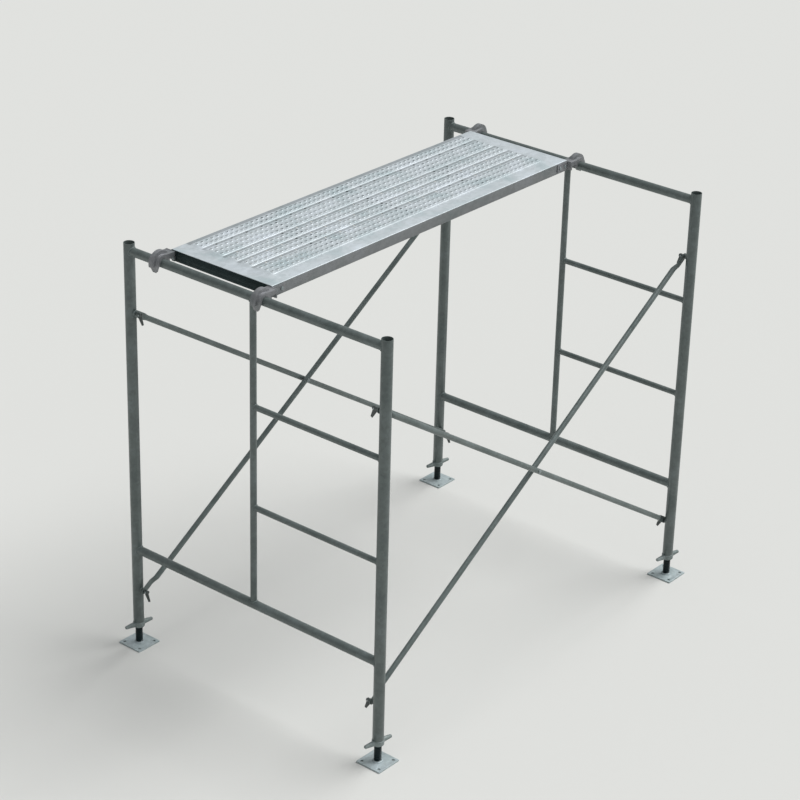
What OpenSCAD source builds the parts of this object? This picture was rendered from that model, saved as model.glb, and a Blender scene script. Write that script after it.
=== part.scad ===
// Frame scaffold section: two ladder frames, two pairs of cross braces, a hooked steel catwalk
// and four screw jacks. Millimetres. +X runs from the left frame to the right frame, +Z is up,
// and the origin lies on the ground in the middle of the four legs. The near side is -Y.

/* [Frames] */
// Distance between the two frames, centre to centre
bay_l = 1829; // [1200:1:2500]
// Distance between the two legs of a frame, centre to centre
frame_w = 1219; // [1000:1:1600]
// Length of a leg tube
leg_l = 1582; // [1400:1:2200]
// Outside diameter of the legs and rails
leg_d = 42; // [38:0.1:52]
// Wall of the legs and rails
leg_wall = 2.2; // [1.8:0.1:3]
// Depth of the reamed socket in the top of a leg
socket_depth = 180; // [100:5:250]
// Extra bore diameter of that socket over the tube's own bore
socket_ream = 0.8; // [0.4:0.1:1.5]
// Distance from the top of a leg down to the middle of the top rail
top_rail_drop = 32; // [24:1:80]
// Height of the bottom rail above the foot of the leg
bottom_rail_h = 319; // [260:1:500]
// Outside diameter of a rail
rail_d = 34; // [30:0.1:42]
// Wall of a rail
rail_wall = 2; // [1.6:0.1:3]
// Outside diameter of the mid post
slim_d = 25; // [20:0.5:34]
// Outside diameter of a rung
rung_d = 22; // [18:0.5:30]
// Wall of the mid post and the rungs
slim_wall = 1.6; // [1.2:0.1:2.5]
// Place of the mid post across the frame, from its middle
mid_post_y = 0; // [-80:1:80]
// Height of the lower rung above the foot of the leg
lower_rung_h = 724; // [600:1:850]
// Height of the upper rung above the foot of the leg
upper_rung_h = 1128; // [950:1:1250]

/* [Brace pins] */
// Height of the lower brace pins above the foot of the leg
lower_pin_h = 146; // [140:1:230]
// Height of the upper brace pins above the foot of the leg
upper_pin_h = 1310; // [1270:1:1500]
// Diameter of a brace pin
pin_d = 14; // [12:0.5:18]
// Length of a brace pin outside its leg
pin_l = 34; // [31:0.5:50]
// Thickness of a latch tag
latch_t = 4; // [3:0.5:5]
// Width of a latch tag
latch_w = 16; // [14:0.5:17]
// Length of a latch tag below its rivet
latch_l = 40; // [30:1:55]
// Diameter of a latch rivet
latch_rivet_d = 4; // [3:0.5:5]

/* [Cross braces] */
// Outside diameter of a brace tube
brace_d = 21; // [18:0.5:27]
// Wall of a brace tube
brace_wall = 1.5; // [1.2:0.1:2]
// Thickness of the flattened end
brace_flat_t = 4; // [3:0.5:5]
// Width of the flattened end
brace_flat_w = 26; // [24:0.5:34]
// Length of the flattened end, from its hole to where the tube starts to open
brace_flat_l = 42; // [36:1:60]
// Length over which the tube opens from flat to round
brace_flare_l = 34; // [25:1:60]
// Gap between the two tubes where they cross
brace_gap = 1; // [0.5:0.1:2]
// Diameter of the rivet at the crossing
brace_rivet_d = 8; // [6:0.5:10]

/* [Catwalk] */
// Length of the deck sheet
deck_l = 1710; // [1100:1:2400]
// Place of the near edge of the deck, from the middle of the frame
deck_near_y = -35; // [-60:1:0]
// Height of the deck top above the top of the rails
deck_rise = 19; // [8:1:30]
// Depth of the side flanges
deck_h = 48; // [40:1:70]
// Thickness of the deck sheet
deck_t = 1.8; // [1.2:0.1:3]
// Width of the lip turned in under each side flange
deck_lip = 16; // [10:1:25]
// Width of a wide raised band
wide_band = 103; // [88:1:110]
// Width of a narrow raised band
narrow_band = 70; // [55:1:74]
// Width of the plain rim between the near side of the deck and its first band
near_rim = 57; // [30:1:64]
// Width of the plain rim between the last band and the far side of the deck
far_rim = 17; // [9:1:40]
// Width of the flat groove between two bands
band_gap = 15; // [13:1:22]
// Height of a raised band
band_rise = 3; // [2:0.5:5]
// Diameter of the drain holes in the grooves
drain_d = 11; // [8:0.5:12]
// Distance between drain holes along the deck
drain_pitch = 60; // [40:1:90]
// Plain length at each end of the deck
deck_plain = 72; // [50:1:120]
// Number of cross channels under the deck
cross_n = 3; // [2:1:5]
// Width of a hook
hook_w = 44; // [36:1:55]
// Thickness of a hook where it wraps over the rail
hook_t = 15; // [8:0.5:18]
// Height of the fin along the back of a hook
hook_fin = 13; // [4:0.5:16]
// Width of that fin
hook_fin_w = 18; // [10:1:30]
// How far a hook stands out past the side of the deck
hook_out = 24; // [10:1:26]
// Drop of the hook's point below the middle of the rail
hook_drop = 34; // [24:1:45]
// Diameter of the hook rivets
hook_rivet_d = 8; // [6:0.5:10]

/* [Screw jacks] */
// Side of a base plate
plate_w = 110; // [100:1:160]
// Thickness of a base plate
plate_t = 6; // [5:0.5:10]
// Distance between the fixing holes in a base plate
plate_hole_pitch = 80; // [70:1:130]
// Diameter of the fixing holes
plate_hole_d = 12; // [8:0.5:14]
// Height of the leg's foot above the ground at rest
foot_h = 98; // [70:1:420]
// Outside diameter of the jack screw
screw_d = 28; // [24:0.5:36]
// Length of the jack screw above its plate
screw_l = 600; // [450:5:620]
// Height of the nut below the leg's foot
nut_h = 22; // [18:1:40]
// Outside diameter of the nut
nut_d = 46; // [44:1:64]
// Span over the two handles of the nut
handle_span = 130; // [100:1:200]
// Diameter of a handle
handle_d = 14; // [10:0.5:16]
// Turn of the handles from the long side of the section
handle_turn = -10; // [-180:5:180]

/* [Hidden] */
$fn = 64;
hull_fn = 32;
weld_gap = 0.05;
rest_gap = 0.3;
run_gap = 0.05;
pin_play = 0.5;
guide_play = 0.8;
brace_slack = 4;
slot_play = 0.3;
cut = 1;

leg_r = leg_d / 2;
rail_r = rail_d / 2;
leg_bore_r = leg_r - leg_wall;
socket_r = leg_bore_r + socket_ream / 2;
slim_r = slim_d / 2;
frame_x = bay_l / 2;
leg_y = frame_w / 2;
leg_top_z = foot_h + leg_l;
top_rail_z = leg_top_z - top_rail_drop;
bottom_rail_z = foot_h + bottom_rail_h;
lower_rung_z = foot_h + lower_rung_h;
upper_rung_z = foot_h + upper_rung_h;
lower_pin_z = foot_h + lower_pin_h;
upper_pin_z = foot_h + upper_pin_h;

pin_r = pin_d / 2;
pin_root_y = leg_y - leg_r;
latch_r = latch_w / 2;
latch_y = pin_root_y - pin_l + latch_r;
latch_rivet_head_t = 1.5;
latch_point = 9;
latch_lean = 14;
tag_r = 0.9 * latch_r;

brace_r = brace_d / 2;
brace_run = bay_l;
brace_climb = upper_pin_h - lower_pin_h;
brace_len = sqrt(brace_run * brace_run + brace_climb * brace_climb);
brace_tilt = atan2(brace_climb, brace_run);
brace_mid_z = (lower_pin_z + upper_pin_z) / 2;
brace_hole_r = pin_r + pin_play;
brace_step = brace_d + brace_gap;
// The inner tube keeps its flattened end just clear of the hanging latch.
flat_shift = brace_r - brace_flat_t / 2 - 0.5;
inner_brace_y = latch_y + latch_r + brace_slack + brace_flat_t / 2 - flat_shift;
outer_brace_y = inner_brace_y + brace_step;
brace_tube_l = brace_len - 2 * (brace_flat_l + brace_flare_l);

deck_top_z = top_rail_z + rail_r + deck_rise;
deck_base_z = deck_top_z - band_rise;
deck_low_z = deck_top_z - deck_h;
band_w = [wide_band, narrow_band, narrow_band, wide_band, narrow_band];
deck_w = near_rim + 2 * wide_band + 3 * narrow_band + far_rim;
deck_far_y = deck_near_y + deck_w;
deck_mid_y = (deck_near_y + deck_far_y) / 2;
// Middle of each groove, from the near side of the deck.
groove_y = [for (i = 0, y = near_rim; i <= len(band_w); y = y + (i < len(band_w) ? band_w[i] : 0), i = i + 1) y];
drain_n = floor((deck_l - 2 * deck_plain) / drain_pitch);
end_t = 3;
end_flange = 26;
end_h = deck_base_z - deck_t - deck_low_z;
cross_w = 40;
cross_t = 2;
cross_h = 30;

hook_in_r = rail_r + rest_gap;
hook_out_r = hook_in_r + hook_t;
hook_fin_r = hook_out_r + hook_fin;
hook_base_t = 5;
hook_cheek_t = 4;
hook_cheek_l = 62;
hook_base_h = 34;
deck_set = frame_x - deck_l / 2;
hook_rivet_head = 14;
hook_rivet_head_t = 3;
hook_rivet_drop = hook_rivet_head / 2 + 1;
hook_top_z = deck_base_z - 2 * deck_t;
hook_arm_low = hook_top_z - top_rail_z - hook_base_h + 2 * hook_rivet_drop;
limb_gap = 0.2;

screw_r = screw_d / 2;
nut_low_z = foot_h - nut_h;
guide_r = leg_bore_r - guide_play;
guide_h = 8;
handle_root_r = 0.95 * nut_h / 2;
screw_tip = 3;
handle_r = handle_d / 2;

// A straight tube standing on the origin.
module tube(d, wall, l) {
    difference() {
        cylinder(d = d, h = l);
        translate([0, 0, -cut]) cylinder(d = d - 2 * wall, h = l + 2 * cut);
    }
}

// Places a shape at one side of the section: sx is -1 for left, sy is -1 for near.
module at_leg(sx, sy) {
    translate([sx * frame_x, sy * leg_y, 0]) children();
}

// ---- frames ----

// Leg tube with a reamed socket at the top and a hole for each brace pin in its inner side.
module leg(sx, sy) {
    color("#5d6967")
    difference() {
        at_leg(sx, sy) translate([0, 0, foot_h]) tube(leg_d, leg_wall, leg_l);
        at_leg(sx, sy) translate([0, 0, leg_top_z - socket_depth])
            cylinder(r = socket_r, h = socket_depth + cut);
        for (z = [lower_pin_z, upper_pin_z])
            at_leg(sx, sy) translate([0, 0, z]) rotate([sy * 90, 0, 0])
                cylinder(r = pin_r + weld_gap, h = leg_d);
    }
}

// Rail that runs from leg to leg, its ends coped to the legs.
module rail(sx, z) {
    color("#5d6967")
    difference() {
        translate([sx * frame_x, leg_y, z]) rotate([90, 0, 0]) tube(rail_d, rail_wall, frame_w);
        for (sy = [-1, 1])
            at_leg(sx, sy) translate([0, 0, z - leg_d]) cylinder(r = leg_r + weld_gap, h = 2 * leg_d);
    }
}

// Slim post between the two rails, its ends coped to them.
module mid_post(sx) {
    color("#56625f")
    difference() {
        translate([sx * frame_x, mid_post_y, bottom_rail_z])
            tube(slim_d, slim_wall, top_rail_z - bottom_rail_z);
        for (z = [bottom_rail_z, top_rail_z])
            translate([sx * frame_x, mid_post_y + slim_d, z]) rotate([90, 0, 0])
                cylinder(r = rail_r + weld_gap, h = 2 * slim_d);
    }
}

// Rung between the near leg and the mid post.
module rung(sx, z) {
    color("#56625f")
    difference() {
        translate([sx * frame_x, mid_post_y, z]) rotate([90, 0, 0])
            tube(rung_d, slim_wall, mid_post_y + leg_y);
        at_leg(sx, -1) translate([0, 0, z - leg_d]) cylinder(r = leg_r + weld_gap, h = 2 * leg_d);
        translate([sx * frame_x, mid_post_y, z - leg_d])
            cylinder(r = slim_r + weld_gap, h = 2 * leg_d);
    }
}

// ---- brace pins and latches ----

// Places a shape at a pin: its own +Y axis then points from the leg towards the middle.
module at_pin(sx, sy, z) {
    translate([sx * frame_x, 0, z]) mirror([0, sy > 0 ? 1 : 0, 0]) children();
}

// Pin welded into the leg wall, slotted at its free end for the latch.
module brace_pin(sx, sy, z) {
    at_pin(sx, sy, z)
    difference() {
        translate([0, -leg_y + leg_bore_r, 0]) rotate([-90, 0, 0])
            cylinder(r = pin_r, h = leg_wall + pin_l);
        translate([-latch_t / 2 - slot_play, -latch_y - latch_r - slot_play, -pin_d])
            cube([latch_t + 2 * slot_play, 2 * latch_w, 2 * pin_d]);
        translate([-pin_d, -latch_y, 0]) rotate([0, 90, 0])
            cylinder(d = latch_rivet_d + 2 * run_gap, h = 2 * pin_d);
    }
}

module brace_pins(sx) {
    color("#8b9694")
    for (sy = [-1, 1], z = [lower_pin_z, upper_pin_z]) brace_pin(sx, sy, z);
}

// Rivet that the latch swings on, with a flat head each side of the pin.
module latch_rivets(sx) {
    color("#9aa3a1")
    for (sy = [-1, 1], z = [lower_pin_z, upper_pin_z])
        at_pin(sx, sy, z) translate([0, -latch_y, 0]) rotate([0, 90, 0]) {
            cylinder(d = latch_rivet_d, h = pin_d + 2 * latch_rivet_head_t, center = true);
            for (s = [-1, 1])
                translate([0, 0, s * (pin_r + latch_rivet_head_t / 2)])
                    cylinder(d = 1.7 * latch_rivet_d, h = latch_rivet_head_t, center = true);
        }
}

// Tag that hangs from its rivet and ends in a point that leans away from the leg.
module latch(sx, sy, z) {
    color("#46524f")
    at_pin(sx, sy, z) translate([0, -latch_y, 0]) rotate([90, 0, 90])
    difference() {
        union() {
            cylinder(r = latch_r, h = latch_t, center = true);
            linear_extrude(latch_t, center = true)
                polygon([
                    [-tag_r, 0], [tag_r, 0], [latch_lean + latch_point / 2, latch_point / 2 - latch_l],
                    [latch_lean - latch_point / 3, -latch_l], [-tag_r, -latch_l / 3]
                ]);
        }
        cylinder(d = latch_rivet_d + 2 * run_gap, h = 2 * latch_t, center = true);
    }
}

// ---- cross braces ----

// One flattened end: the flare from tube to flat, and the flat with its round nose.
module brace_end(shift) {
    flat_x = brace_len / 2 - brace_flat_l;
    hull() {
        translate([flat_x - brace_flare_l - cut, 0, 0]) rotate([0, 90, 0])
            cylinder(r = brace_r, h = cut, $fn = hull_fn);
        translate([flat_x, shift - brace_flat_t / 2, -brace_flat_w / 2])
            cube([cut, brace_flat_t, brace_flat_w]);
    }
    translate([flat_x, shift - brace_flat_t / 2, -brace_flat_w / 2])
        cube([brace_flat_l, brace_flat_t, brace_flat_w]);
    translate([brace_len / 2, shift + brace_flat_t / 2, 0]) rotate([90, 0, 0])
        cylinder(d = brace_flat_w, h = brace_flat_t);
}

// Brace at a distance y from the middle of the section; climb is 1 when it rises towards +X.
module brace(sy, y, climb, shift) {
    color("#58635f")
    translate([0, sy * y, brace_mid_z]) rotate([0, -climb * brace_tilt, 0])
    difference() {
        union() {
            translate([-brace_tube_l / 2, 0, 0]) rotate([0, 90, 0])
                tube(brace_d, brace_wall, brace_tube_l);
            for (m = [0, 1]) mirror([m, 0, 0]) brace_end(sy * shift);
        }
        for (s = [-1, 1])
            translate([s * brace_len / 2, brace_d, 0]) rotate([90, 0, 0])
                cylinder(r = brace_hole_r, h = 2 * brace_d);
        translate([0, brace_d, 0]) rotate([90, 0, 0])
            cylinder(d = brace_rivet_d + 2 * run_gap, h = 2 * brace_d);
    }
}

// Rivet through both tubes at their crossing.
module brace_rivet(sy) {
    mid_y = sy * (inner_brace_y + outer_brace_y) / 2;
    head_t = 3;
    color("#8b9694")
    translate([0, mid_y, brace_mid_z]) rotate([90, 0, 0]) {
        cylinder(d = brace_rivet_d, h = brace_step + brace_d + 2 * head_t, center = true);
        for (s = [-1, 1])
            translate([0, 0, s * (brace_step / 2 + brace_r + head_t / 2)])
                cylinder(d = 2 * brace_rivet_d, h = head_t, center = true);
    }
}

// ---- catwalk ----

// Upper edge of the deck's section, from near to far: for each band a slope up and a slope down.
function band_edge() = [
    for (i = [0 : len(band_w) - 1]) each [
        [groove_y[i] + band_gap / 2, 0],
        [groove_y[i] + band_gap / 2 + band_rise, band_rise],
        [groove_y[i + 1] - band_gap / 2 - band_rise, band_rise],
        [groove_y[i + 1] - band_gap / 2, 0]
    ]
];

// Section of the pressed sheet: banded top, side flanges and the lips turned in under them.
module deck_section() {
    flange_h = deck_base_z - deck_low_z;
    bands = band_edge();
    under = [for (i = [len(bands) - 1 : -1 : 0]) bands[i] - [0, deck_t]];
    polygon(concat(
        [[0, -flange_h], [0, 0]],
        bands,
        [[deck_w, 0], [deck_w, -flange_h], [deck_w - deck_lip, -flange_h],
         [deck_w - deck_lip, deck_t - flange_h], [deck_w - deck_t, deck_t - flange_h],
         [deck_w - deck_t, -deck_t]],
        under,
        [[deck_t, -deck_t], [deck_t, deck_t - flange_h], [deck_lip, deck_t - flange_h],
         [deck_lip, -flange_h]]
    ));
}

module deck_sheet() {
    color("#c8d2d6")
    difference() {
        translate([-deck_l / 2, deck_near_y, deck_base_z]) rotate([90, 0, 90])
            linear_extrude(deck_l) deck_section();
        for (y = groove_y, j = [0 : drain_n - 1])
            translate([(j - (drain_n - 1) / 2) * drain_pitch, deck_near_y + y,
                       deck_base_z - drain_d])
                cylinder(d = drain_d, h = 2 * drain_d, $fn = 24);
        hook_rivet_holes();
    }
}

// Channel that closes one end of the deck, its flanges turned inwards.
module deck_end(sx) {
    inner_w = deck_w - 2 * deck_t;
    color("#3a4b49")
    difference() {
        mirror([sx < 0 ? 1 : 0, 0, 0])
        translate([deck_l / 2 - end_flange, deck_near_y + deck_t, deck_low_z + deck_t])
        difference() {
            cube([end_flange, inner_w, end_h - deck_t]);
            translate([-cut, -cut, end_t])
                cube([end_flange - end_t + cut, inner_w + 2 * cut, end_h - deck_t - 2 * end_t]);
        }
        hook_rivet_holes();
    }
}

// Channels that carry the sheet between its side flanges.
module deck_cross_channels() {
    step = deck_l / (cross_n + 1);
    inner_w = deck_w - 2 * deck_t;
    color("#97a3a6")
    for (i = [1 : cross_n])
        translate([-deck_l / 2 + i * step - cross_w / 2, deck_near_y + deck_t,
                   deck_base_z - deck_t - cross_h])
        difference() {
            cube([cross_w, inner_w, cross_h]);
            translate([cross_t, -cut, cross_t])
                cube([cross_w - 2 * cross_t, inner_w + 2 * cut, cross_h]);
        }
}

// Side view of a hook with the rail's middle at its origin; the deck lies towards -x.
module hook_side() {
    base_top = hook_top_z - top_rail_z;
    difference() {
        union() {
            circle(hook_out_r);
            polygon([
                [hook_in_r, 2], [hook_out_r - 1, 2], [hook_out_r - 1, -hook_drop / 4],
                [hook_in_r + hook_t / 2, -hook_drop], [hook_in_r, 4 - hook_drop]
            ]);
            polygon([
                [1 - deck_set, hook_arm_low], [1 - deck_set, base_top - 1],
                [0, hook_out_r - 2], [0, hook_arm_low]
            ]);
        }
        circle(hook_in_r);
        translate([-hook_fin_r, -hook_drop - cut])
            square([hook_fin_r + hook_in_r + limb_gap, hook_drop + cut]);
    }
}

// Side view of the fin on the back of a hook.
module hook_fin_side() {
    difference() {
        circle(hook_fin_r);
        circle(hook_in_r + hook_t / 3);
        translate([-hook_fin_r - cut, -hook_fin_r - cut]) square([hook_fin_r + cut, hook_fin_r + hook_t]);
        translate([-cut, -hook_fin_r - cut]) square([hook_fin_r + 2 * cut, hook_fin_r - hook_drop / 4]);
    }
}

// Hook: a saddle over the rail, a fin on its back, a base on the deck's end and a cheek on its side.
module hook(sx, sy) {
    side_y = sy < 0 ? deck_near_y : deck_far_y;
    color("#848d90")
    difference() {
        translate([0, side_y, 0]) mirror([sx < 0 ? 1 : 0, 0, 0]) mirror([0, sy > 0 ? 1 : 0, 0]) {
            translate([frame_x, hook_w - hook_out, top_rail_z]) rotate([90, 0, 0])
                linear_extrude(hook_w) hook_side();
            translate([frame_x, (hook_w + hook_fin_w) / 2 - hook_out, top_rail_z]) rotate([90, 0, 0])
                linear_extrude(hook_fin_w) hook_fin_side();
            translate([deck_l / 2, -hook_out, hook_top_z - hook_base_h])
                cube([hook_base_t, hook_w, hook_base_h]);
            translate([deck_l / 2 - hook_cheek_l, -hook_cheek_t, hook_top_z - hook_base_h + 1])
                cube([hook_cheek_l + hook_base_t / 2, hook_cheek_t, hook_base_h - 2]);
        }
        hook_rivet_holes();
    }
}

// Places a shape at each hook rivet, its +Z axis pointing out of the deck.
module at_hook_rivets() {
    low_z = hook_top_z - hook_base_h + hook_rivet_drop;
    for (mx = [0, 1], my = [0, 1])
        translate([0, deck_mid_y, low_z]) mirror([mx, 0, 0]) mirror([0, my, 0]) {
            for (x = [0.25, 0.75])
                translate([deck_l / 2 - x * hook_cheek_l, -deck_w / 2, hook_rivet_drop])
                    rotate([90, 0, 0]) children(0);
            translate([deck_l / 2, -deck_w / 2 + (hook_w - hook_out) / 2 + 2, 0])
                rotate([0, 90, 0]) children(1);
        }
}

module hook_rivet_holes() {
    at_hook_rivets() {
        cylinder(d = hook_rivet_d + 2 * run_gap, h = 4 * hook_rivet_d, center = true);
        cylinder(d = hook_rivet_d + 2 * run_gap, h = 4 * hook_rivet_d, center = true);
    }
}

// A rivet whose inner head lies inner_t behind the deck face and outer head outer_t before it.
module rivet(inner_t, outer_t) {
    translate([0, 0, -inner_t]) cylinder(d = hook_rivet_d, h = inner_t + outer_t);
    translate([0, 0, outer_t]) cylinder(d = hook_rivet_head, h = hook_rivet_head_t);
    translate([0, 0, -inner_t - hook_rivet_head_t]) cylinder(d = hook_rivet_head, h = hook_rivet_head_t);
}

module deck_rivets() {
    color("#a5adb0")
    at_hook_rivets() {
        rivet(deck_t, hook_cheek_t);
        rivet(end_t, hook_base_t);
    }
}

// ---- screw jacks ----

module base_plate(sx, sy) {
    color("#a8b5b6")
    at_leg(sx, sy)
    difference() {
        translate([-plate_w / 2, -plate_w / 2, 0]) cube([plate_w, plate_w, plate_t]);
        for (x = [-1, 1], y = [-1, 1])
            translate([x * plate_hole_pitch / 2, y * plate_hole_pitch / 2, -cut])
                cylinder(d = plate_hole_d, h = plate_t + 2 * cut);
    }
}

// Screw standing on its plate, its upper end chamfered.
module screw(sx, sy) {
    color("#20282a")
    at_leg(sx, sy) translate([0, 0, plate_t]) rotate_extrude()
        polygon([
            [0, 0], [screw_r, 0], [screw_r, screw_l - screw_tip],
            [screw_r - screw_tip, screw_l], [0, screw_l]
        ]);
}

// Wing nut with a guide inside the leg; the leg's foot stands on its upper face.
module jack_nut(sx, sy) {
    color("#6f7b79")
    at_leg(sx, sy)
    difference() {
        union() {
            translate([0, 0, nut_low_z]) cylinder(d = nut_d, h = nut_h);
            translate([0, 0, foot_h - cut]) cylinder(r = guide_r, h = guide_h + cut);
            for (turn = [0, 180])
                translate([0, 0, foot_h - nut_h / 2]) rotate([0, 90, handle_turn + turn]) {
                    cylinder(r1 = handle_root_r, r2 = handle_r, h = handle_span / 2 - handle_r);
                    translate([0, 0, handle_span / 2 - handle_r]) sphere(r = handle_r);
                }
        }
        translate([0, 0, nut_low_z - cut])
            cylinder(r = screw_r + run_gap, h = nut_h + guide_h + 2 * cut);
    }
}

leg(-1, -1);  // left_near_leg
leg(-1, 1);  // left_far_leg
rail(-1, top_rail_z);  // left_top_rail
rail(-1, bottom_rail_z);  // left_bottom_rail
mid_post(-1);  // left_mid_post
rung(-1, lower_rung_z);  // left_lower_rung
rung(-1, upper_rung_z);  // left_upper_rung
brace_pins(-1);  // left_brace_pins
latch_rivets(-1);  // left_latch_rivets
leg(1, -1);  // right_near_leg
leg(1, 1);  // right_far_leg
rail(1, top_rail_z);  // right_top_rail
rail(1, bottom_rail_z);  // right_bottom_rail
mid_post(1);  // right_mid_post
rung(1, lower_rung_z);  // right_lower_rung
rung(1, upper_rung_z);  // right_upper_rung
brace_pins(1);  // right_brace_pins
latch_rivets(1);  // right_latch_rivets
latch(-1, -1, lower_pin_z);  // left_near_low_latch
latch(-1, -1, upper_pin_z);  // left_near_high_latch
latch(-1, 1, lower_pin_z);  // left_far_low_latch
latch(-1, 1, upper_pin_z);  // left_far_high_latch
latch(1, -1, lower_pin_z);  // right_near_low_latch
latch(1, -1, upper_pin_z);  // right_near_high_latch
latch(1, 1, lower_pin_z);  // right_far_low_latch
latch(1, 1, upper_pin_z);  // right_far_high_latch
brace(-1, outer_brace_y, -1, -flat_shift);  // near_outer_brace
brace(-1, inner_brace_y, 1, flat_shift);  // near_inner_brace
brace_rivet(-1);  // near_brace_rivet
brace(1, outer_brace_y, -1, -flat_shift);  // far_outer_brace
brace(1, inner_brace_y, 1, flat_shift);  // far_inner_brace
brace_rivet(1);  // far_brace_rivet
deck_sheet();
deck_end(-1);  // deck_left_end
deck_end(1);  // deck_right_end
deck_cross_channels();
deck_rivets();
hook(-1, -1);  // left_near_hook
hook(-1, 1);  // left_far_hook
hook(1, -1);  // right_near_hook
hook(1, 1);  // right_far_hook
base_plate(-1, -1);  // left_near_base_plate
base_plate(-1, 1);  // left_far_base_plate
base_plate(1, -1);  // right_near_base_plate
base_plate(1, 1);  // right_far_base_plate
screw(-1, -1);  // left_near_screw
screw(-1, 1);  // left_far_screw
screw(1, -1);  // right_near_screw
screw(1, 1);  // right_far_screw
jack_nut(-1, -1);  // left_near_nut
jack_nut(-1, 1);  // left_far_nut
jack_nut(1, -1);  // right_near_nut
jack_nut(1, 1);  // right_far_nut
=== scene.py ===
"""Looks of a frame scaffold section: zinc tubes, welds, a pierced catwalk, hooks, screw jacks."""
import math

import bmesh
import bpy
from mathutils import Matrix, Vector


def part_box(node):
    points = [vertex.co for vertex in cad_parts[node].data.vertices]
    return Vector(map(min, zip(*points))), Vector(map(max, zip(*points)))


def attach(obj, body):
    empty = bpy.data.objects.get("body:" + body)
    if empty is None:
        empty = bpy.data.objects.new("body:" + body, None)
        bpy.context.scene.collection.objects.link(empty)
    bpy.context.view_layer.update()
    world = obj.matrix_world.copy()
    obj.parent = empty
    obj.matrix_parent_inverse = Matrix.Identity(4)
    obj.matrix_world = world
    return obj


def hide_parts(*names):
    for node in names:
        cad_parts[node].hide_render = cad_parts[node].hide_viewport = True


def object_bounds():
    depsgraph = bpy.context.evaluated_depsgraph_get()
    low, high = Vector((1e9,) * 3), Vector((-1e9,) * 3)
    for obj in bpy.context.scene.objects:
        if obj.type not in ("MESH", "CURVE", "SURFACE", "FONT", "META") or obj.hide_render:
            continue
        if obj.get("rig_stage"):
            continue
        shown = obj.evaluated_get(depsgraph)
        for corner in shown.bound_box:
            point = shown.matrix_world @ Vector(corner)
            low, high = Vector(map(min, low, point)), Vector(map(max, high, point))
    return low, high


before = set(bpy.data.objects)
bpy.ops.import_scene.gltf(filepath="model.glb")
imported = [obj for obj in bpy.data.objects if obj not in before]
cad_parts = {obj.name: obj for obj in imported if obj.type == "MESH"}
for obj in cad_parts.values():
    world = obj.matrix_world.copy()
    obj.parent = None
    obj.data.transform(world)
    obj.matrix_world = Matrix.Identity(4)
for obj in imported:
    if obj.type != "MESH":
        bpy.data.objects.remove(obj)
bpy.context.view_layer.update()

bl_info = {
    "name": "Frame scaffold section",
    "version": (1, 0, 0),
    "blender": (4, 5, 0),
    "location": "3D View > Sidebar > Scaffold",
    "description": "Builds the visible pieces and finishes of a frame scaffold section",
    "category": "Object",
}

ENDS = ("left", "right")
ROWS = ("near", "far")
CORNERS = [f"{end}_{row}" for end in ENDS for row in ROWS]
UP = Vector((0, 0, 1))


# ---- places taken from the frame ----

def middle(node):
    """Middle of a node's box."""
    low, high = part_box(node)
    return (low + high) / 2


def extent(node):
    """Size of a node's box along X, Y and Z."""
    low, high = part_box(node)
    return high - low


LEG_R = extent("left_near_leg").x / 2
RAIL_R = extent("left_top_rail").x / 2
SLIM_R = extent("left_mid_post").x / 2
RUNG_R = extent("left_lower_rung").x / 2
BRACE_R = extent("near_outer_brace").y / 2
SCREW_R = extent("left_near_screw").x / 2
DECK_LOW, DECK_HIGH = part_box("deck_sheet")


# ---- sizes and colours a user would change ----

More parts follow.
